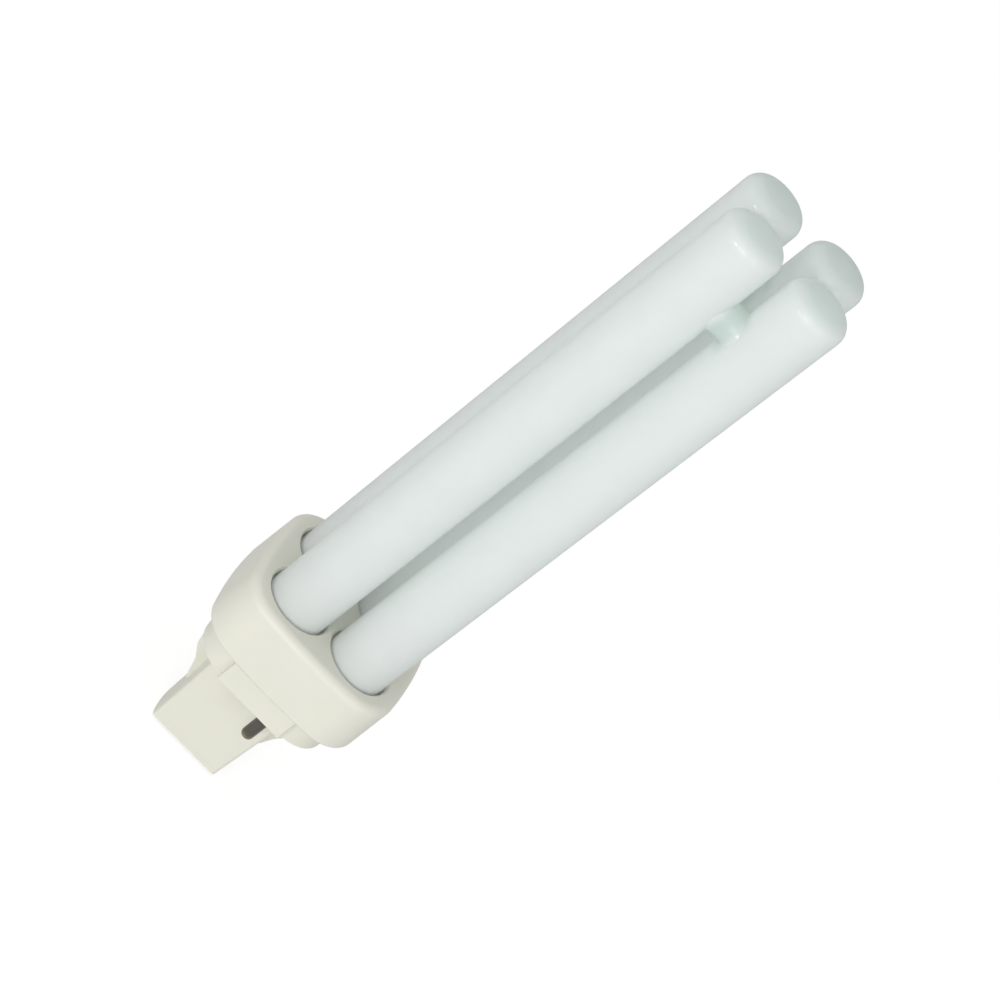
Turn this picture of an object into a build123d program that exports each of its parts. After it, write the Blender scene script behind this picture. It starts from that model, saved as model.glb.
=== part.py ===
from build123d import *
import os

# Pin base compact fluorescent lamp: a double twin tube on a moulded two-pin base with its starter
# in the post. Millimetres. +Z runs along the lamp's axis towards the tube tips, and z = 0 is the
# seating face, the underside that the two contact pins stand out of.

# Discharge tube
tube_d = 12.0
leg_pitch_x = 14.4            # between the two legs of one U, centre to centre
leg_pitch_y = 14.6            # between the two Us, centre to centre
tube_above_housing = 107.8
tip_dome = 1.3                # how far the tip's shallow dome would drop by the tube's wall
tip_shoulder_r = 2.8
bridge_below_tip = 14.6       # centre of the fused neck that makes two legs one U
bridge_waist_d = 6.4
bridge_flare_d = 8.8          # where the neck runs into the legs
joining_bridge_above = 9.0    # centre of the neck that joins the two Us, over the housing
leg_below_plate = 4.9         # length of leg under the housing's top plate
pinch_length = 3.0
pinch_width = 8.0
pinch_thickness = 2.6
exhaust_tip_d = 3.4
exhaust_tip_length = 2.6

# Upper moulding
housing_corner = 15.9         # half width at the corners of the open end, before they are rounded
housing_bow = 1.4             # how far the middle of each side stands out past that
housing_corner_r = 8.0
draft_inset = 0.17            # how far the draft takes the wall in by the top plate
housing_height = 12.0
housing_wall = 1.6
top_plate = 2.0
rim_r = 1.6
lower_edge_r = 0.6
hole_clearance = 0.45         # round each leg, in the top plate
hole_lip = 0.35
flange_recess = 0.5           # the wall is thinner by this where it takes the lower moulding

# Lower moulding
flange_thickness = 1.8
flange_clearance = 0.1
pedestal_width = 28.2
pedestal_corner_r = 7.0
pedestal_height = 5.9
cap_wall = 1.6
cap_floor = 2.0
key_width = 14.7              # raised key on the front and the back of the pedestal
key_stand_out = 1.1
key_edge_r = 0.35

# Post, which holds the starter
post_length = 24.1
post_root_x = 16.9
post_root_y = 11.2
post_end_x = 15.2
post_end_y = 10.0
post_side_bow = 0.4
post_corner_r = 0.7
post_wall = 1.3
post_end_wall = 1.5
post_nose_flat = 6.0          # depth of the flat end between its two slopes
post_nose_slope = 0.25        # rise of each slope for a unit of depth
wing_thickness = 2.2
wing_root_reach = 12.3        # from the axis, at the seating face
wing_waist_reach = 10.2
wing_toe_reach = 9.2
wing_shoulder_depth = 6.5     # under the seating face
wing_waist_depth = 11.0
wing_toe_depth = 13.8
wing_end_depth = 17.0

# Contact pins, on opposite corners of the post
pin_d = 2.4
pin_length = 7.6
pin_spacing = 24.0
pin_x = 4.2
pin_tip_r = 0.9
pin_seat_d = 2.0              # shoulder that seats in a recess under the pedestal
pin_seat_depth = 0.6
pin_neck_d = 1.6              # through the rest of the floor
pin_clearance = 0.05          # round the neck, and round a shank in the mouth of its recess
pin_head_d = 2.8              # riveted over on the inside
pin_head_thickness = 0.6
pin_tail_d = 1.4
pin_tail_length = 2.0

# Cement that holds the legs
cement_depth = 3.8
bond_clearance = 0.05

# Starter and wiring
starter_d = 6.2
starter_length = 15.6
starter_crown_r = 2.4
starter_x = -2.9
capacitor_x = 3.4
capacitor_size_x = 4.4
capacitor_size_y = 5.4
capacitor_length = 8.4
capacitor_edge_r = 0.8
seat_clearance = 0.1          # under the starter and the capacitor
component_wire_d = 0.5
component_wire_y = 1.3        # each side of the middle
wire_spacing = 0.7            # between the two component wires in one sleeve
lead_d = 0.6
lead_spread = 3.0             # between the two leads of one pinch
lead_bend_r = 0.6
sleeve_d = 2.2
sleeve_bore = 1.6
sleeve_length = 2.8
sleeve_top = -1.4
wire_overlap = 1.4            # of the lead, and of the component wires, inside a sleeve
component_wire_level = -4.9   # level run of the capacitor's wires, over the starter

# Heights and radii worked out from these
tube_r = tube_d / 2
housing_base = pedestal_height
housing_top = housing_base + housing_height
plate_underside = housing_top - top_plate
tip_z = housing_top + tube_above_housing
leg_end = plate_underside - leg_below_plate
pinch_end = leg_end - pinch_length
pin_y = ((pin_spacing / 2) ** 2 - pin_x ** 2) ** 0.5
flange_top = housing_base + flange_thickness
post_end = -post_length
post_floor = post_end + post_end_wall
pedestal_half = pedestal_width / 2
key_face = pedestal_half + key_stand_out
pin_tail_top = cap_floor + pin_head_thickness + pin_tail_length
lead_level = (pinch_end + pin_tail_top) / 2
component_seat = post_floor + seat_clearance
starter_top = component_seat + starter_length
capacitor_top = component_seat + capacitor_length
sleeve_x = starter_x + wire_spacing / 2
component_wire_end = sleeve_top - sleeve_length + wire_overlap
leg_places = [(sx * leg_pitch_x / 2, sy * leg_pitch_y / 2) for sx in (-1, 1) for sy in (-1, 1)]
electrode_legs = [place for place in leg_places if place[0] < 0]
return_legs = [place for place in leg_places if place[0] > 0]


def bowed_outline(half_x, half_y, bow_x, bow_y, corner_r):
    """A level rectangle whose sides stand out in shallow arcs, with rounded corners."""
    corners = [(half_x, -half_y), (half_x, half_y), (-half_x, half_y), (-half_x, -half_y)]
    middles = [(half_x + bow_x, 0), (0, half_y + bow_y), (-half_x - bow_x, 0), (0, -half_y - bow_y)]
    sides = Curve()
    for i in range(4):
        start, end = corners[i], corners[(i + 1) % 4]
        if (bow_x, bow_y)[i % 2] > 0:
            sides += ThreePointArc(start, middles[i], end)
        else:
            sides += Line(start, end)
    return fillet(make_face(sides).vertices(), corner_r)


def housing_outline(inset):
    """The housing's plan, moved in by a wall or a clearance."""
    return bowed_outline(housing_corner - inset, housing_corner - inset, housing_bow, housing_bow,
                         housing_corner_r - inset)


def post_section(inset, x_size, y_size, z):
    """The post's level section at one height."""
    outline = bowed_outline(x_size / 2 - inset, y_size / 2 - inset, post_side_bow, 0, post_corner_r)
    return Pos(0, 0, z) * outline


def upright(profile_face):
    """Turns a face drawn in X and Y, with Y as height, round the Z axis."""
    return revolve(Plane.XZ * profile_face, Axis.Z)


def leg(place):
    """One leg of the tube, with a shallow dome and a rounded shoulder for its tip."""
    length = tip_z - leg_end
    shoulder = (tube_r, length - tip_dome)
    outline = Curve() + [
        Polyline((0, length), (0, 0), (tube_r, 0), shoulder),
        TangentArc((0, length), shoulder, tangent=(1, 0)),
    ]
    outline = make_face(outline)
    corner = outline.vertices().group_by(Axis.Y)[-2]
    return Pos(place[0], place[1], leg_end) * upright(fillet(corner, tip_shoulder_r))


def neck(start, end):
    """A fused neck between two legs, waisted in the middle and flared into both."""
    path = Vector(*end) - Vector(*start)
    waist, flare = bridge_waist_d / 2, bridge_flare_d / 2
    reach = path.length / 2 - (tube_r ** 2 - flare ** 2) ** 0.5 + tube_d / 40
    outline = Curve() + [
        ThreePointArc((flare, -reach), (waist, 0), (flare, reach)),
        Polyline((flare, reach), (0, reach), (0, -reach), (flare, -reach)),
    ]
    solid = revolve(Plane.XZ * make_face(outline), Axis.Z)
    middle = (Vector(*start) + Vector(*end)) / 2
    return Plane(origin=middle, z_dir=path) * solid


def pinch(place):
    """The flattened seal of a leg that holds an electrode."""
    block = Box(pinch_width, pinch_thickness, pinch_length + tube_r / 2,
                align=(Align.CENTER, Align.CENTER, Align.MIN))
    block = fillet(block.edges().filter_by(Axis.Z), pinch_thickness * 0.4)
    return Pos(place[0], place[1], pinch_end) * block


def exhaust_tip(place):
    """The sealed-off stub of a leg that was pumped out."""
    radius = exhaust_tip_d / 2
    stub = Cylinder(radius, exhaust_tip_length + radius, align=(Align.CENTER, Align.CENTER, Align.MIN))
    stub = fillet(stub.edges().sort_by(Axis.Z)[0], radius * 0.8)
    return Pos(place[0], place[1], leg_end - exhaust_tip_length) * stub


def make_discharge_tube():
    """Four legs fused into one closed vessel: two Us, and the low neck that joins them."""
    glass = leg(leg_places[0])
    for place in leg_places[1:]:
        glass += leg(place)
    bridge_z = tip_z - bridge_below_tip
    for side in (-1, 1):
        y = side * leg_pitch_y / 2
        glass += neck((-leg_pitch_x / 2, y, bridge_z), (leg_pitch_x / 2, y, bridge_z))
    low_z = housing_top + joining_bridge_above
    glass += neck((leg_pitch_x / 2, -leg_pitch_y / 2, low_z), (leg_pitch_x / 2, leg_pitch_y / 2, low_z))
    for place in electrode_legs:
        glass += pinch(place)
    for place in return_legs:
        glass += exhaust_tip(place)
    return glass


def make_housing():
    """The upper moulding: an open-bottomed shell with four lipped holes in its top plate."""
    shell = loft([housing_outline(0), Pos(0, 0, housing_height) * housing_outline(draft_inset)])
    shell = fillet(shell.faces().sort_by(Axis.Z)[-1].edges(), rim_r)
    shell = fillet(shell.faces().sort_by(Axis.Z)[0].edges(), lower_edge_r)
    shell = Pos(0, 0, housing_base) * shell
    shell -= Pos(0, 0, housing_base) * extrude(housing_outline(housing_wall), housing_height - top_plate)
    recess = housing_outline(housing_wall - flange_recess)
    shell -= Pos(0, 0, housing_base) * extrude(recess, flange_thickness)
    hole_r = tube_r + hole_clearance
    for x, y in leg_places:
        shell -= Pos(x, y, plate_underside) * Cylinder(
            hole_r, top_plate, align=(Align.CENTER, Align.CENTER, Align.MIN))
        shell -= Pos(x, y, housing_top - hole_lip) * Cone(
            hole_r, hole_r + hole_lip, hole_lip, align=(Align.CENTER, Align.CENTER, Align.MIN))
    return shell


def wing_outline():
    """The rib on each narrow side of the post, as seen from the front."""
    inside = post_end_x / 2 - post_wall / 2
    post_side = post_end_x / 2 + (post_root_x - post_end_x) / 2 * (1 - wing_end_depth / post_length)
    outline = Curve() + [
        Line((inside, 0), (wing_root_reach, 0)),
        Line((wing_root_reach, 0), (wing_root_reach, -wing_shoulder_depth)),
        Spline((wing_root_reach, -wing_shoulder_depth), (wing_waist_reach, -wing_waist_depth),
               (wing_toe_reach, -wing_toe_depth), tangents=[(0, -1), (-0.35, -1)]),
        Line((wing_toe_reach, -wing_toe_depth), (post_side, -wing_end_depth)),
        Line((post_side, -wing_end_depth), (inside, -wing_end_depth)),
        Line((inside, -wing_end_depth), (inside, 0)),
    ]
    return make_face(outline)


def make_wing():
    """One side rib, which guides the post into its holder."""
    return extrude(Plane.XZ * wing_outline(), wing_thickness / 2, both=True)


def make_post():
    """The tapered post with its sloping nose."""
    body = loft([post_section(0, post_end_x, post_end_y, post_end),
                 post_section(0, post_root_x, post_root_y, 0)])
    flat, side = post_nose_flat / 2, post_root_y
    rise = post_nose_slope * (side - flat)
    nose = Polyline((-side, 1), (side, 1), (side, post_end + rise), (flat, post_end),
                    (-flat, post_end), (-side, post_end + rise), close=True)
    return body & extrude(Plane.YZ * make_face(nose), post_root_x, both=True)


def make_base_cap():
    """The lower moulding: flange, keyed pedestal, hollow post and its two side ribs."""
    pedestal = extrude(RectangleRounded(pedestal_width, pedestal_width, pedestal_corner_r), pedestal_height)
    key = Box(key_width, 2 * key_face, pedestal_height, align=(Align.CENTER, Align.CENTER, Align.MIN))
    key = fillet(key.edges().filter_by(Axis.Z), key_edge_r)
    flange = extrude(housing_outline(housing_wall - flange_recess + flange_clearance), flange_thickness)
    cap = pedestal + key + Pos(0, 0, housing_base) * flange
    wing = make_wing()
    cap += [make_post(), wing, Rot(0, 0, 180) * wing]

    inner_width = pedestal_width - 2 * cap_wall
    depth = flange_top - cap_floor
    hollow = extrude(RectangleRounded(inner_width, inner_width, pedestal_corner_r - cap_wall), depth)
    hollow += Box(key_width - 2 * cap_wall, 2 * (key_face - cap_wall), depth,
                  align=(Align.CENTER, Align.CENTER, Align.MIN))
    cap -= Pos(0, 0, cap_floor) * hollow
    cap -= loft([post_section(post_wall, post_end_x, post_end_y, post_floor),
                 post_section(post_wall, post_root_x, post_root_y, cap_floor)])
    for side in (-1, 1):
        for diameter, depth in ((pin_neck_d, cap_floor), (pin_d, pin_seat_depth)):
            cap -= Pos(side * pin_x, -side * pin_y, 0) * Cylinder(
                diameter / 2 + pin_clearance, depth, align=(Align.CENTER, Align.CENTER, Align.MIN))
    return cap


def make_contact_pin(side):
    """A turned pin whose shoulder seats in the pedestal's underside and whose head is riveted inside."""
    shank, seat, neck, head, tail = pin_d / 2, pin_seat_d / 2, pin_neck_d / 2, pin_head_d / 2, pin_tail_d / 2
    head_top = cap_floor + pin_head_thickness
    outline = Polyline((0, -pin_length), (shank, -pin_length), (shank, 0), (seat, 0),
                       (seat, pin_seat_depth), (neck, pin_seat_depth), (neck, cap_floor),
                       (head, cap_floor), (head, head_top), (tail, head_top), (tail, pin_tail_top),
                       (0, pin_tail_top), close=True)
    face = make_face(outline)
    toe = face.vertices().sort_by(Axis.Y)[:2].sort_by(Axis.X)[-1]
    return Pos(side * pin_x, -side * pin_y, 0) * upright(fillet(toe, pin_tip_r))


def make_cement():
    """The potted block round the four legs, under the housing's top plate."""
    block = Pos(0, 0, plate_underside - cement_depth) * extrude(
        housing_outline(housing_wall + bond_clearance), cement_depth)
    for x, y in leg_places:
        block -= Pos(x, y, plate_underside - cement_depth) * Cylinder(
            tube_r + bond_clearance, cement_depth, align=(Align.CENTER, Align.CENTER, Align.MIN))
    return block


def wire(points, diameter, bend_r=lead_bend_r):
    """A round wire along straight runs and bends."""
    path = FilletPolyline(*points, radius=bend_r) if len(points) > 2 else Line(*points)
    start = Plane(origin=path @ 0, z_dir=path % 0)
    return sweep(start * Circle(diameter / 2), path=path)


def make_starter():
    """The glow starter's glass bottle, with its two wires."""
    bottle = Cylinder(starter_d / 2, starter_length, align=(Align.CENTER, Align.CENTER, Align.MIN))
    bottle = fillet(bottle.edges().sort_by(Axis.Z)[0], starter_crown_r / 2)
    bottle = fillet(bottle.edges().sort_by(Axis.Z)[-1], starter_crown_r)
    bottle = Pos(starter_x, 0, component_seat) * bottle
    for side in (-1, 1):
        y = side * component_wire_y
        bottle += wire([(starter_x, y, starter_top - starter_crown_r), (starter_x, y, component_wire_end)],
                       component_wire_d)
    return bottle


def make_capacitor():
    """The suppression capacitor beside the starter, with its wires bent over to the sleeves."""
    block = Box(capacitor_size_x, capacitor_size_y, capacitor_length,
                align=(Align.CENTER, Align.CENTER, Align.MIN))
    block = fillet(block.edges().filter_by(Axis.Z), capacitor_edge_r)
    block = Pos(capacitor_x, 0, component_seat) * block
    wire_x = starter_x + wire_spacing
    for side in (-1, 1):
        y = side * component_wire_y
        block += wire([(capacitor_x, y, capacitor_top),
                       (capacitor_x, y, component_wire_level), (wire_x, y, component_wire_level),
                       (wire_x, y, component_wire_end)], component_wire_d, bend_r=lead_bend_r / 2)
    return block


def make_sleeve(side):
    """A crimp sleeve that joins a lead to the wires of the starter and the capacitor."""
    tube = Cylinder(sleeve_d / 2, sleeve_length, align=(Align.CENTER, Align.CENTER, Align.MAX))
    tube -= Cylinder(sleeve_bore / 2, sleeve_length, align=(Align.CENTER, Align.CENTER, Align.MAX))
    return Pos(sleeve_x, side * component_wire_y, sleeve_top) * tube


def make_pin_lead(side):
    """From an electrode leg's pinch to the tail of the pin on the same side."""
    x, y = electrode_legs[0][0] + lead_spread / 2, side * leg_pitch_y / 2
    return wire([(x, y, pinch_end), (x, y, lead_level), (-side * pin_x, side * pin_y, lead_level),
                 (-side * pin_x, side * pin_y, pin_tail_top)], lead_d)


def make_starter_lead(side):
    """From the same pinch's outer lead down into a crimp sleeve."""
    x, y = electrode_legs[0][0] - lead_spread / 2, side * leg_pitch_y / 2
    return wire([(x, y, pinch_end), (x, y, lead_level), (sleeve_x, side * component_wire_y, lead_level),
                 (sleeve_x, side * component_wire_y, sleeve_top - wire_overlap + lead_d / 2)], lead_d)


def main():
    pieces = {
        "discharge_tube": make_discharge_tube(),
        "base_housing": make_housing(),
        "base_cap": make_base_cap(),
        "tube_cement": make_cement(),
        "starter_bottle": make_starter(),
        "starter_capacitor": make_capacitor(),
    }
    for number, side in ((1, -1), (2, 1)):
        pieces[f"contact_pin_{number}"] = make_contact_pin(-side)
        pieces[f"pin_lead_{number}"] = make_pin_lead(side)
        pieces[f"starter_lead_{number}"] = make_starter_lead(side)
        pieces[f"crimp_sleeve_{number}"] = make_sleeve(side)
    os.makedirs("parts", exist_ok=True)
    for name, shape in pieces.items():
        solids = shape.solids()
        export_step(solids[0] if len(solids) == 1 else Compound(children=solids), f"parts/{name}.step")


main()
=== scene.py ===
"""Finishes and stage for the pin base fluorescent lamp, laid out as a Blender add-on and run as a script."""
import math

import bpy
from bpy.props import FloatProperty, FloatVectorProperty, PointerProperty
from mathutils import Matrix, Vector


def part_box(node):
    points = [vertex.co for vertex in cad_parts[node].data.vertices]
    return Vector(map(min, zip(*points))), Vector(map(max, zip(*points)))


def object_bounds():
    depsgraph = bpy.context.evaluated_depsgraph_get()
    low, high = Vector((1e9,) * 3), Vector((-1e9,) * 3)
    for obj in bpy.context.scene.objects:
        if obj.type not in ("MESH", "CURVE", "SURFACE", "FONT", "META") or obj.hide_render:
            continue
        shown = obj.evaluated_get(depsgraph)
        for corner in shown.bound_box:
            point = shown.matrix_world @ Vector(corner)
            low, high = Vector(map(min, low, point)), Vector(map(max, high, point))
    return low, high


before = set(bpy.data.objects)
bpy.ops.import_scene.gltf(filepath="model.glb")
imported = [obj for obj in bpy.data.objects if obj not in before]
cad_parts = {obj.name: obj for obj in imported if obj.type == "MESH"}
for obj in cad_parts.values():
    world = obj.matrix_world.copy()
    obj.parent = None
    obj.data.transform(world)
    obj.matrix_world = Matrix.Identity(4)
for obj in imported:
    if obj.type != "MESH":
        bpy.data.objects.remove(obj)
CAD_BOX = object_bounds()

bl_info = {
    "name": "Pin Base Fluorescent Lamp",
    "version": (1, 0, 0),
    "blender": (4, 5, 0),
    "location": "3D View > Sidebar > Lamp",
    "description": "Gives the lamp's glass, moulding and pins their finishes and sets a plain stage",
    "category": "Object",
}

TUBE_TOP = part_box("discharge_tube")[1].z
PIN_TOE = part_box("contact_pin_1")[0].z

PIN_NODES = ("contact_pin_1", "contact_pin_2")
WIRE_NODES = ("pin_lead_1", "pin_lead_2", "starter_lead_1", "starter_lead_2")
SLEEVE_NODES = ("crimp_sleeve_1", "crimp_sleeve_2")

GLASS_IOR = 1.5
PLASTIC_IOR = 1.55
WHITE = (1.0, 1.0, 1.0, 1.0)

LIGHT_DISTANCE = 1.4
LIGHT_AIM = Vector((0, 0, 0.05))
STUDIO_LIGHTS = (  # name, azimuth and elevation in degrees, width in metres, power in watts
    ("key", -35, 6, 0.25, 2.7),
    ("front_low", -10, 10, 0.6, 2.7),
    ("front_high", -10, 25, 0.8, 3.3),
    ("right", 40, 15, 0.6, 2.2),
    ("back", -150, 40, 0.8, 1.25),
)
SKY = 0.60          # even light from all round
BACKDROP = 0.97     # what the camera sees past the floor
FLOOR_HALF = 3.0    # half the floor's side, in metres
FLOOR_GLOW = 0.158  # light that the floor gives the lamp
FLOOR_WHITE = 0.42  # what the floor shows the camera on top of that


def tint(name, description, default):
    return FloatVectorProperty(name=name, description=description, subtype="COLOR", size=3,
                               min=0.0, max=1.0, default=default)


def share(name, description, default):
    return FloatProperty(name=name, description=description, subtype="FACTOR", min=0.0, max=1.0,
                         default=default)


def length(name, description, default):
    return FloatProperty(name=name, description=description, subtype="DISTANCE", unit="LENGTH",
                         default=default, precision=5)


class LampGlassSettings(bpy.types.PropertyGroup):
    """Finish of the coated discharge tube."""
    coating: tint("Coating", "Colour of the coating behind the glass", (0.925, 0.955, 0.943))
    # The colour below is painted shade, a darker and greener coating colour for the tips' end faces and the
    # necks between the tubes.
    painted_shade_colour: tint("Shade colour", "Colour where the coating is thin", (0.70, 0.80, 0.76))
    roughness: share("Roughness", "Roughness of the coating seen through the glass", 0.50)
    gloss: share("Gloss", "Roughness of the glass surface over the coating", 0.14)
    see_through: share("See-through", "Share of the light that the coating lets through", 0.46)
    tip_band: length("Tip band", "Length of darkened coating at each tip", 0.0022)
    tip_shade_amount: share("Tip shade", "How thin the coating gets at the tips", 0.65)
    neck_drop: length("Neck drop", "How far the fused necks lie under the tips", 0.0146)
    neck_half_width: length("Neck half width", "Reach of thin coating along a neck", 0.0018)
    neck_half_height: length("Neck half height", "Reach of thin coating up and down a neck", 0.0040)
    neck_fade: length("Neck fade", "How softly the necks' thin coating ends", 0.0010)
    neck_shade_amount: share("Neck shade", "How thin the coating gets on the necks", 0.90)
    mottle: length("Mottle", "Size of the coating's faint unevenness", 0.006)
    mottle_amount: share("Mottle amount", "Strength of that unevenness", 0.05)


class LampMouldingSettings(bpy.types.PropertyGroup):
    """Finish of the moulded housing and cap."""
    body: tint("Body", "Colour of the moulded base", (0.745, 0.742, 0.655))
    # The edge colour below is a painted highlight along the edges; only the smoother roughness there is
    # rubbing.
    edge: tint("Edge", "Colour of the rubbed edges", (0.82, 0.82, 0.76))
    roughness: share("Roughness", "Roughness of the moulded skin", 0.40)
    grain: length("Grain", "Size of the mould's fine texture", 0.00035)
    edge_width: length("Edge width", "How far the rubbed edge reaches", 0.0003)
    edge_patch: length("Edge patch", "Size of the patches that break the rubbed edge up", 0.0022)
    edge_highlight_tint: share("Edge highlight tint", "How much of the edge's colour shows", 0.5)
    edge_polish: share("Edge polish", "How much smoother a rubbed edge is", 0.10)
    mottle: length("Mottle", "Size of the skin's faint unevenness", 0.009)
    mottle_amount: share("Mottle amount", "Strength of that unevenness", 0.05)
    depth: length("Depth", "How far light reaches into the plastic", 0.001)
    softness: share("Softness", "Share of the light that passes under the skin", 0.12)


class LampMetalSettings(bpy.types.PropertyGroup):
    """Finish of the pins, leads and sleeves."""
    # The pin's dark colour below is painted shade, and the toe colour is a painted reflection.
    pin: tint("Pin", "Colour of the pin's dulled plating", (0.160, 0.150, 0.135))
    pin_toe_reflection: tint("Pin toe reflection", "Colour of the toe, where the plating is rubbed off", (0.42, 0.37, 0.23))
    toe_reach: length("Toe reach", "How far up the pin the rubbed toe reaches", 0.0018)
    toe_break: length("Toe break", "How uneven the end of the rubbed toe is", 0.002)
    brass: tint("Brass", "Colour of bare brass", (0.66, 0.50, 0.22))
    brass_roughness: share("Brass roughness", "Roughness of bare brass", 0.30)
    wire: tint("Wire", "Colour of the lead wire", (0.60, 0.58, 0.55))
    wire_roughness: share("Wire roughness", "Roughness of the lead wire", 0.35)


class LampInsideSettings(bpy.types.PropertyGroup):
    """Finish of the pieces inside the base."""
    cement: tint("Cement", "Colour of the cement round the tube's ends", (0.70, 0.66, 0.58))
    bottle: tint("Starter bottle", "Colour of the starter's glass", (0.86, 0.90, 0.89))
    dip: tint("Capacitor", "Colour of the capacitor's dipped coat", (0.56, 0.20, 0.07))


class LampStageSettings(bpy.types.PropertyGroup):
    """Floor, light and camera."""
    floor: tint("Floor", "Colour of the plain floor", (0.60, 0.60, 0.60))
    lens: FloatProperty(name="Lens", description="Focal length on a 36 mm sensor, in millimetres",
                        min=20.0, max=300.0, default=107.2)
    camera_place: FloatVectorProperty(name="Camera place", description="Where the camera stands",
                                      subtype="TRANSLATION", unit="LENGTH", size=3,
                                      default=(-0.076675, -0.413546, 0.304195))
    azimuth: FloatProperty(name="Azimuth", description="Direction of view, from +Y towards +X",
                           subtype="ANGLE", unit="ROTATION", default=math.radians(10.697))
    elevation: FloatProperty(name="Elevation", description="How far the view looks down",
                             subtype="ANGLE", unit="ROTATION", default=math.radians(30.598))
    roll: FloatProperty(name="Roll", description="Turn of the picture about the view",
                        subtype="ANGLE", unit="ROTATION", default=math.radians(-51.951))


# Node helpers


def set_values(node, **values):
    """Sets a node's inputs by name, with an underscore for each space."""
    for label, value in values.items():
        node.inputs[label.replace("_", " ")].default_value = value


def feed(tree, shader, **sources):
    """Links a shader's inputs by name, with an underscore for each space."""
    for label, source in sources.items():
        tree.links.new(source, shader.inputs[label.replace("_", " ")])


def maths(tree, operation, *values, clamp=False):
    """A math node whose inputs are sockets or numbers; gives its output."""
    node = tree.nodes.new("ShaderNodeMath")
    node.operation = operation
    node.use_clamp = clamp
    for slot, value in zip(node.inputs, values):
        if isinstance(value, (int, float)):
            slot.default_value = value
        else:
            tree.links.new(value, slot)
    return node.outputs[0]


def remap(tree, value, low, high, to_low=0.0, to_high=1.0):
    """Turns the range from low to high into the range to_low to to_high, with soft ends."""
    node = tree.nodes.new("ShaderNodeMapRange")
    node.interpolation_type = "SMOOTHSTEP"
    set_values(node, From_Min=low, From_Max=high, To_Min=to_low, To_Max=to_high)
    tree.links.new(value, node.inputs["Value"])
    return node.outputs["Result"]


def object_place(tree):
    return tree.nodes.new("ShaderNodeTexCoord").outputs["Object"]


def split_place(tree):
    """The place on the object as three separate measures, in metres."""
    split = tree.nodes.new("ShaderNodeSeparateXYZ")
    tree.links.new(object_place(tree), split.inputs[0])
    return split.outputs["X"], split.outputs["Y"], split.outputs["Z"]


def noise(tree, scale, detail=2.0):
    node = tree.nodes.new("ShaderNodeTexNoise")
    node.inputs["Detail"].default_value = detail
    if isinstance(scale, (int, float)):
        node.inputs["Scale"].default_value = scale
    else:
        tree.links.new(scale, node.inputs["Scale"])
    tree.links.new(object_place(tree), node.inputs["Vector"])
    return node.outputs["Fac"]


def rings(tree, scale, distortion):
    """Fine rings round an upright piece, as drawing or turning leaves them."""
    node = tree.nodes.new("ShaderNodeTexWave")
    node.bands_direction = "Z"
    set_values(node, Scale=scale, Distortion=distortion)
    tree.links.new(object_place(tree), node.inputs["Vector"])
    return node.outputs["Fac"]


def blend_colour(tree, factor, low, high):
    """Mixes two colours, from low at nought to high at one."""
    node = tree.nodes.new("ShaderNodeMix")
    node.data_type = "RGBA"
    tree.links.new(factor, node.inputs["Factor"])
    node.inputs[6].default_value = (*low, 1.0)
    node.inputs[7].default_value = (*high, 1.0)
    return node.outputs[2]


def brighten(tree, colour, shift):
    """Scales a colour by one plus a small shift."""
    node = tree.nodes.new("ShaderNodeVectorMath")
    node.operation = "SCALE"
    tree.links.new(colour, node.inputs[0])
    tree.links.new(maths(tree, "ADD", 1.0, shift), node.inputs["Scale"])
    return node.outputs["Vector"]


def bump(tree, shader, height, strength, distance):
    node = tree.nodes.new("ShaderNodeBump")
    set_values(node, Strength=strength, Distance=distance)
    tree.links.new(height, node.inputs["Height"])
    tree.links.new(node.outputs["Normal"], shader.inputs["Normal"])


def darker(colour, amount):
    return tuple(amount * part for part in colour)


# Shared shader groups


def shader_group(name, numbers, output):
    """An empty node group with number inputs and one named output."""
    group = bpy.data.node_groups.new(name, "ShaderNodeTree")
    for label, default in numbers.items():
        socket = group.interface.new_socket(name=label, in_out="INPUT", socket_type="NodeSocketFloat")
        socket.default_value = default
    group.interface.new_socket(name=output, in_out="OUTPUT", socket_type="NodeSocketFloat")
    return group, group.nodes.new("NodeGroupInput"), group.nodes.new("NodeGroupOutput")


def unevenness_group():
    """Soft blotches with a mean of nought, for faint colour and gloss variation."""
    group, inside, out = shader_group("Unevenness", {"Size": 0.006, "Amount": 0.05}, "Shift")
    blotch = noise(group, maths(group, "DIVIDE", 1.0, inside.outputs["Size"]), detail=3.0)
    centred = maths(group, "SUBTRACT", blotch, 0.5)
    group.links.new(maths(group, "MULTIPLY", centred, inside.outputs["Amount"]), out.inputs["Shift"])
    return group


def mould_texture_group():
    """The fine pitted skin that a mould leaves, as a height."""
    coarser, fine_share, coarse_share = 0.12, 0.6, 0.4
    group, inside, out = shader_group("Mould Texture", {"Grain": 0.00035}, "Height")
    scale = maths(group, "DIVIDE", 1.0, inside.outputs["Grain"])
    fine = noise(group, scale)
    coarse = noise(group, maths(group, "MULTIPLY", scale, coarser))
    height = maths(group, "ADD", maths(group, "MULTIPLY", fine, fine_share),
                   maths(group, "MULTIPLY", coarse, coarse_share))
    group.links.new(height, out.inputs["Height"])
    return group


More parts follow.
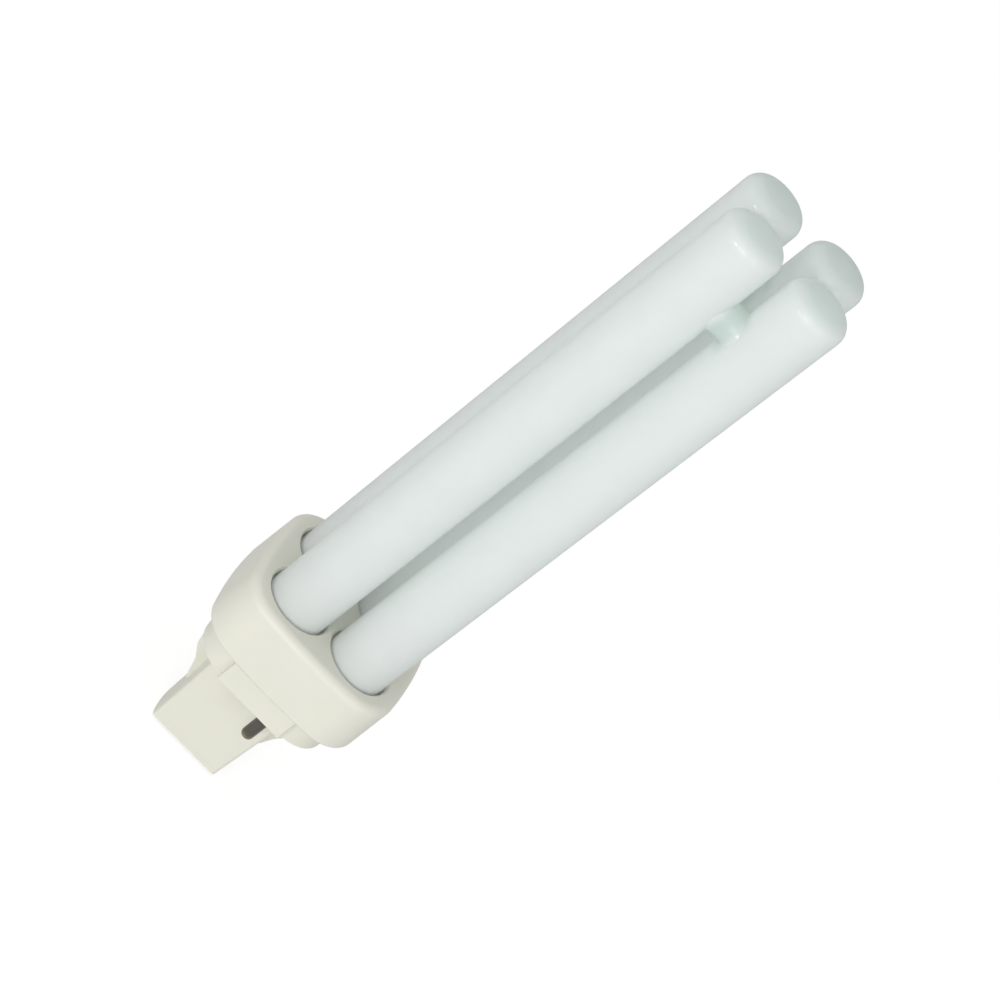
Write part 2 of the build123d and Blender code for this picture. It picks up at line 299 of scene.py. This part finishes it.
def rubbed_edge_and_highlight_group():
    """A mask that is one on sharp edges, broken up by noise; it makes edges smoother and carries a painted
    highlight on them.
    """
    group, inside, out = shader_group("Rubbed Edge And Highlight", {"Width": 0.0003, "Break Up": 0.002}, "Mask")
    bevel = group.nodes.new("ShaderNodeBevel")
    bevel.samples = 4
    group.links.new(inside.outputs["Width"], bevel.inputs["Radius"])
    facing = group.nodes.new("ShaderNodeNewGeometry")
    dot = group.nodes.new("ShaderNodeVectorMath")
    dot.operation = "DOT_PRODUCT"
    group.links.new(bevel.outputs["Normal"], dot.inputs[0])
    group.links.new(facing.outputs["Normal"], dot.inputs[1])
    turned = maths(group, "SUBTRACT", 1.0, dot.outputs["Value"])
    edge = remap(group, turned, low=0.01, high=0.12)
    broken = noise(group, maths(group, "DIVIDE", 1.0, inside.outputs["Break Up"]), detail=3.0)
    mask = maths(group, "MULTIPLY", edge, remap(group, broken, low=0.30, high=0.65))
    group.links.new(mask, out.inputs["Mask"])
    return group


SHARED_GROUPS = {
    "Unevenness": unevenness_group,
    "Mould Texture": mould_texture_group,
    "Rubbed Edge And Highlight": rubbed_edge_and_highlight_group,
}


def use_group(tree, name, **values):
    """Places a shared group, which is built at its first use, and gives its output."""
    node = tree.nodes.new("ShaderNodeGroup")
    node.node_tree = bpy.data.node_groups.get(name) or SHARED_GROUPS[name]()
    set_values(node, **values)
    return node.outputs[0]


# Materials


def new_material(name):
    material = bpy.data.materials.new(name)
    material.use_nodes = True
    tree = material.node_tree
    return material, tree, tree.nodes["Principled BSDF"]


def give(nodes, material):
    """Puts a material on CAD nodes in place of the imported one."""
    for name in nodes:
        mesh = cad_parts[name].data
        if not mesh.materials:
            mesh.materials.append(material)
        for index in range(len(mesh.materials)):
            mesh.materials[index] = material


def within(tree, distance, reach, fade):
    """One where a distance is under the reach, with a soft end."""
    return remap(tree, distance, low=reach - fade, high=reach + fade, to_low=1.0, to_high=0.0)


def painted_shade_places(tree, settings, shift):
    """A mask of painted shade: the formed tips' end faces and the fused necks between the tubes."""
    across, _, up = split_place(tree)
    tip = remap(tree, up, low=TUBE_TOP - settings.tip_band, high=TUBE_TOP, to_high=settings.tip_shade_amount)
    off_middle = maths(tree, "ABSOLUTE", across)
    off_level = maths(tree, "ABSOLUTE", maths(tree, "SUBTRACT", up, TUBE_TOP - settings.neck_drop))
    neck = maths(tree, "MULTIPLY",
                 within(tree, off_middle, settings.neck_half_width, settings.neck_fade),
                 within(tree, off_level, settings.neck_half_height, settings.neck_fade))
    shaded = maths(tree, "MAXIMUM", tip, maths(tree, "MULTIPLY", neck, settings.neck_shade_amount))
    return maths(tree, "ADD", shaded, shift, clamp=True)


def coated_glass(settings):
    """White coating seen through clear glass, which lets some of the light through."""
    material, tree, shader = new_material("coated_glass")
    shift = use_group(tree, "Unevenness", Size=settings.mottle, Amount=settings.mottle_amount)
    # Painted shade: the tips' end faces and the necks between the tubes blend towards the darker, greener
    # colour.
    shaded = painted_shade_places(tree, settings, shift)
    white = brighten(tree, blend_colour(tree, shaded, settings.coating, settings.painted_shade_colour), shift)
    feed(tree, shader, Base_Color=white, Roughness=maths(tree, "ADD", settings.roughness, shift))
    set_values(shader, IOR=GLASS_IOR, Specular_IOR_Level=0.2,
               Coat_Weight=1.0, Coat_Roughness=settings.gloss, Coat_IOR=GLASS_IOR)
    through = tree.nodes.new("ShaderNodeBsdfTranslucent")
    tree.links.new(white, through.inputs["Color"])
    both = tree.nodes.new("ShaderNodeMixShader")
    both.inputs["Fac"].default_value = settings.see_through
    tree.links.new(shader.outputs["BSDF"], both.inputs[1])
    tree.links.new(through.outputs["BSDF"], both.inputs[2])
    tree.links.new(both.outputs["Shader"], tree.nodes["Material Output"].inputs["Surface"])
    return material


def moulding(settings):
    """Ivory moulded plastic with a fine texture, and edges painted lighter as a highlight and rubbed
    smoother.
    """
    gloss_unevenness = 2.0
    material, tree, shader = new_material("base_moulding")
    edge = use_group(tree, "Rubbed Edge And Highlight", Width=settings.edge_width, Break_Up=settings.edge_patch)
    shift = use_group(tree, "Unevenness", Size=settings.mottle, Amount=settings.mottle_amount)
    # Painted highlight: edges blend towards the lighter edge colour; the same mask also makes them smoother.
    skin = blend_colour(tree, maths(tree, "MULTIPLY", edge, settings.edge_highlight_tint), settings.body, settings.edge)
    rubbed = maths(tree, "SUBTRACT", settings.roughness, maths(tree, "MULTIPLY", edge, settings.edge_polish))
    roughness = maths(tree, "ADD", rubbed, maths(tree, "MULTIPLY", shift, gloss_unevenness))
    feed(tree, shader, Base_Color=brighten(tree, skin, shift), Roughness=roughness)
    height = use_group(tree, "Mould Texture", Grain=settings.grain)
    bump(tree, shader, height, strength=0.35, distance=0.00002)
    set_values(shader, IOR=PLASTIC_IOR, Subsurface_Weight=settings.softness,
               Subsurface_Radius=(1.0, 0.85, 0.5), Subsurface_Scale=settings.depth)
    return material


def metal(name, colour, roughness, streaks):
    """Drawn metal with fine streaks round its length, and duller patches."""
    material, tree, shader = new_material(name)
    patch = noise(tree, scale=900.0, detail=4.0)
    stain = blend_colour(tree, remap(tree, patch, low=0.40, high=0.70), colour, darker(colour, 0.75))
    dulling = remap(tree, patch, low=0.3, high=0.8, to_low=-0.06, to_high=0.10)
    feed(tree, shader, Base_Color=stain, Roughness=maths(tree, "ADD", roughness, dulling))
    bump(tree, shader, rings(tree, scale=streaks, distortion=2.0), strength=0.15, distance=0.00001)
    set_values(shader, Metallic=1.0)
    return material


def pin_metal(settings):
    """A turned pin, coloured dark all along as painted shade, with a lighter yellow painted reflection at its
    toe.
    """
    material, tree, shader = new_material("pin_brass")
    pin_noise = noise(tree, scale=600.0, detail=3.0)
    waver = maths(tree, "MULTIPLY", maths(tree, "SUBTRACT", pin_noise, 0.5), settings.toe_break)
    up = maths(tree, "ADD", split_place(tree)[2], waver)
    # Painted reflection: the toe, up to a wavering line, takes the lighter yellow toe colour over the dark
    # painted-shade colour.
    bare = remap(tree, up, low=PIN_TOE, high=PIN_TOE + settings.toe_reach, to_low=1.0, to_high=0.0)
    feed(tree, shader, Base_Color=blend_colour(tree, bare, settings.pin, settings.pin_toe_reflection),
         Roughness=remap(tree, pin_noise, low=0.3, high=0.7, to_low=0.30, to_high=0.40))
    bump(tree, shader, rings(tree, scale=5000.0, distortion=1.0), strength=0.1, distance=0.000005)
    set_values(shader, Metallic=1.0)
    return material


def cement(settings):
    """Set cement, crumbly and matt."""
    material, tree, shader = new_material("cement")
    crumb = noise(tree, scale=1400.0, detail=5.0)
    mix = blend_colour(tree, remap(tree, crumb, low=0.35, high=0.65), settings.cement,
                       darker(settings.cement, 0.86))
    feed(tree, shader, Base_Color=mix)
    set_values(shader, Roughness=0.9)
    bump(tree, shader, crumb, strength=0.6, distance=0.0001)
    return material


def bottle_glass(settings):
    """Clear glass with a faint haze."""
    least_roughness = 0.06
    material, tree, shader = new_material("starter_glass")
    haze = use_group(tree, "Unevenness", Size=0.003, Amount=0.10)
    feed(tree, shader, Roughness=maths(tree, "ADD", least_roughness, haze, clamp=True))
    set_values(shader, Base_Color=(*settings.bottle, 1.0), IOR=GLASS_IOR, Transmission_Weight=0.85)
    return material


def dipped_coat(settings):
    """A glossy dipped coat, uneven in colour."""
    mean_blend, mean_roughness = 0.5, 0.3
    material, tree, shader = new_material("capacitor_case")
    shift = use_group(tree, "Unevenness", Size=0.0015, Amount=0.25)
    coat = blend_colour(tree, maths(tree, "ADD", mean_blend, shift), settings.dip, darker(settings.dip, 0.8))
    feed(tree, shader, Base_Color=coat, Roughness=maths(tree, "ADD", mean_roughness, shift, clamp=True))
    bump(tree, shader, noise(tree, scale=700.0), strength=0.2, distance=0.00005)
    return material


# Stage


def view_axes(settings):
    """The camera's right, up and back directions."""
    azimuth, elevation, roll = settings.azimuth, settings.elevation, settings.roll
    ahead = Vector((math.sin(azimuth) * math.cos(elevation), math.cos(azimuth) * math.cos(elevation),
                    -math.sin(elevation)))
    right = ahead.cross(Vector((0, 0, 1))).normalized()
    down = ahead.cross(right)
    turned_right = math.cos(roll) * right + math.sin(roll) * down
    turned_down = -math.sin(roll) * right + math.cos(roll) * down
    return turned_right, -turned_down, -ahead


def add_camera(settings):
    camera = bpy.data.cameras.new("Camera")
    camera.lens = settings.lens
    camera.sensor_width = 36.0
    camera.clip_start = 0.01
    camera.clip_end = 20.0
    turn = Matrix(view_axes(settings)).transposed().to_4x4()
    seen = bpy.data.objects.new("Camera", camera)
    seen.matrix_world = Matrix.Translation(Vector(settings.camera_place)) @ turn
    bpy.context.scene.collection.objects.link(seen)
    bpy.context.scene.camera = seen


def add_light(name, azimuth, elevation, width, power):
    """A square area light turned towards the lamp; azimuth runs from -Y towards +X."""
    lamp = bpy.data.lights.new(name, "AREA")
    lamp.shape = "SQUARE"
    lamp.size = width
    lamp.energy = power
    turn, rise = math.radians(azimuth), math.radians(elevation)
    away = Vector((math.sin(turn) * math.cos(rise), -math.cos(turn) * math.cos(rise), math.sin(rise)))
    held = bpy.data.objects.new(name, lamp)
    held.location = LIGHT_AIM + LIGHT_DISTANCE * away
    held.rotation_euler = (-away).to_track_quat("-Z", "Y").to_euler()
    bpy.context.scene.collection.objects.link(held)


def add_floor(settings):
    """A plain pale floor under the lamp, lit from within so that it looks white to the camera."""
    level = CAD_BOX[0][2]
    corners = [(-1, -1), (1, -1), (1, 1), (-1, 1)]
    mesh = bpy.data.meshes.new("floor")
    mesh.from_pydata([(FLOOR_HALF * x, FLOOR_HALF * y, level) for x, y in corners], [], [(0, 1, 2, 3)])
    floor = bpy.data.objects.new("floor", mesh)
    bpy.context.scene.collection.objects.link(floor)
    material, tree, shader = new_material("floor")
    set_values(shader, Base_Color=(*settings.floor, 1.0), Roughness=0.9, Specular_IOR_Level=0.1,
               Emission_Color=WHITE)
    seen = tree.nodes.new("ShaderNodeLightPath").outputs["Is Camera Ray"]
    feed(tree, shader, Emission_Strength=maths(tree, "MULTIPLY_ADD", seen, FLOOR_WHITE, FLOOR_GLOW))
    mesh.materials.append(material)


def add_world():
    """An even light from all round, and a plain pale backdrop for the camera."""
    world = bpy.data.worlds.new("studio")
    world.use_nodes = True
    tree = world.node_tree
    light = tree.nodes["Background"]
    set_values(light, Color=WHITE, Strength=SKY)
    backdrop = tree.nodes.new("ShaderNodeBackground")
    set_values(backdrop, Color=WHITE, Strength=BACKDROP)
    both = tree.nodes.new("ShaderNodeMixShader")
    tree.links.new(tree.nodes.new("ShaderNodeLightPath").outputs["Is Camera Ray"], both.inputs["Fac"])
    tree.links.new(light.outputs["Background"], both.inputs[1])
    tree.links.new(backdrop.outputs["Background"], both.inputs[2])
    tree.links.new(both.outputs["Shader"], tree.nodes["World Output"].inputs["Surface"])
    bpy.context.scene.world = world


# Operators


class LAMP_OT_glass(bpy.types.Operator):
    """Finish the discharge tube as coated glass"""
    bl_idname = "lamp.finish_glass"
    bl_label = "Discharge Tube"

    def execute(self, context):
        give(("discharge_tube",), coated_glass(context.scene.lamp_glass))
        return {"FINISHED"}


class LAMP_OT_moulding(bpy.types.Operator):
    """Finish the housing and the cap as ivory moulded plastic"""
    bl_idname = "lamp.finish_moulding"
    bl_label = "Housing and Cap"

    def execute(self, context):
        give(("base_housing", "base_cap"), moulding(context.scene.lamp_moulding))
        return {"FINISHED"}


class LAMP_OT_metal(bpy.types.Operator):
    """Finish the pins, leads and sleeves as metal"""
    bl_idname = "lamp.finish_metal"
    bl_label = "Pins, Leads and Sleeves"

    def execute(self, context):
        settings = context.scene.lamp_metal
        give(PIN_NODES, pin_metal(settings))
        give(WIRE_NODES, metal("lead_wire", settings.wire, settings.wire_roughness, streaks=3000.0))
        give(SLEEVE_NODES, metal("sleeve_brass", settings.brass, settings.brass_roughness, streaks=4000.0))
        return {"FINISHED"}


class LAMP_OT_inside(bpy.types.Operator):
    """Finish the cement, the starter bottle and the capacitor"""
    bl_idname = "lamp.finish_inside"
    bl_label = "Cement and Starter"

    def execute(self, context):
        settings = context.scene.lamp_inside
        give(("tube_cement",), cement(settings))
        give(("starter_bottle",), bottle_glass(settings))
        give(("starter_capacitor",), dipped_coat(settings))
        return {"FINISHED"}


class LAMP_OT_stage(bpy.types.Operator):
    """Set the pale floor, the soft lights and the camera"""
    bl_idname = "lamp.set_stage"
    bl_label = "Stage"

    def execute(self, context):
        settings = context.scene.lamp_stage
        add_floor(settings)
        for light in STUDIO_LIGHTS:
            add_light(*light)
        add_world()
        context.scene.view_settings.view_transform = "Standard"
        add_camera(settings)
        return {"FINISHED"}


class LAMP_PT_panel(bpy.types.Panel):
    """Lists the lamp's finishes and the stage"""
    bl_idname = "LAMP_PT_panel"
    bl_label = "Pin Base Fluorescent Lamp"
    bl_space_type = "VIEW_3D"
    bl_region_type = "UI"
    bl_category = "Lamp"

    def draw(self, context):
        for name, (_, operator) in SECTIONS.items():
            box = self.layout.box()
            settings = getattr(context.scene, name)
            for key in settings.bl_rna.properties.keys():
                if key not in ("rna_type", "name"):
                    box.prop(settings, key)
            box.operator(operator.bl_idname)


SECTIONS = {
    "lamp_glass": (LampGlassSettings, LAMP_OT_glass),
    "lamp_moulding": (LampMouldingSettings, LAMP_OT_moulding),
    "lamp_metal": (LampMetalSettings, LAMP_OT_metal),
    "lamp_inside": (LampInsideSettings, LAMP_OT_inside),
    "lamp_stage": (LampStageSettings, LAMP_OT_stage),
}


def register():
    for name, (settings, operator) in SECTIONS.items():
        bpy.utils.register_class(settings)
        bpy.utils.register_class(operator)
        setattr(bpy.types.Scene, name, PointerProperty(type=settings))
    bpy.utils.register_class(LAMP_PT_panel)


def unregister():
    bpy.utils.unregister_class(LAMP_PT_panel)
    for name, (settings, operator) in reversed(list(SECTIONS.items())):
        delattr(bpy.types.Scene, name)
        bpy.utils.unregister_class(operator)
        bpy.utils.unregister_class(settings)


def main():
    register()
    bpy.ops.lamp.finish_glass()
    bpy.ops.lamp.finish_moulding()
    bpy.ops.lamp.finish_metal()
    bpy.ops.lamp.finish_inside()
    bpy.ops.lamp.set_stage()


if __name__ == "__main__":
    main()
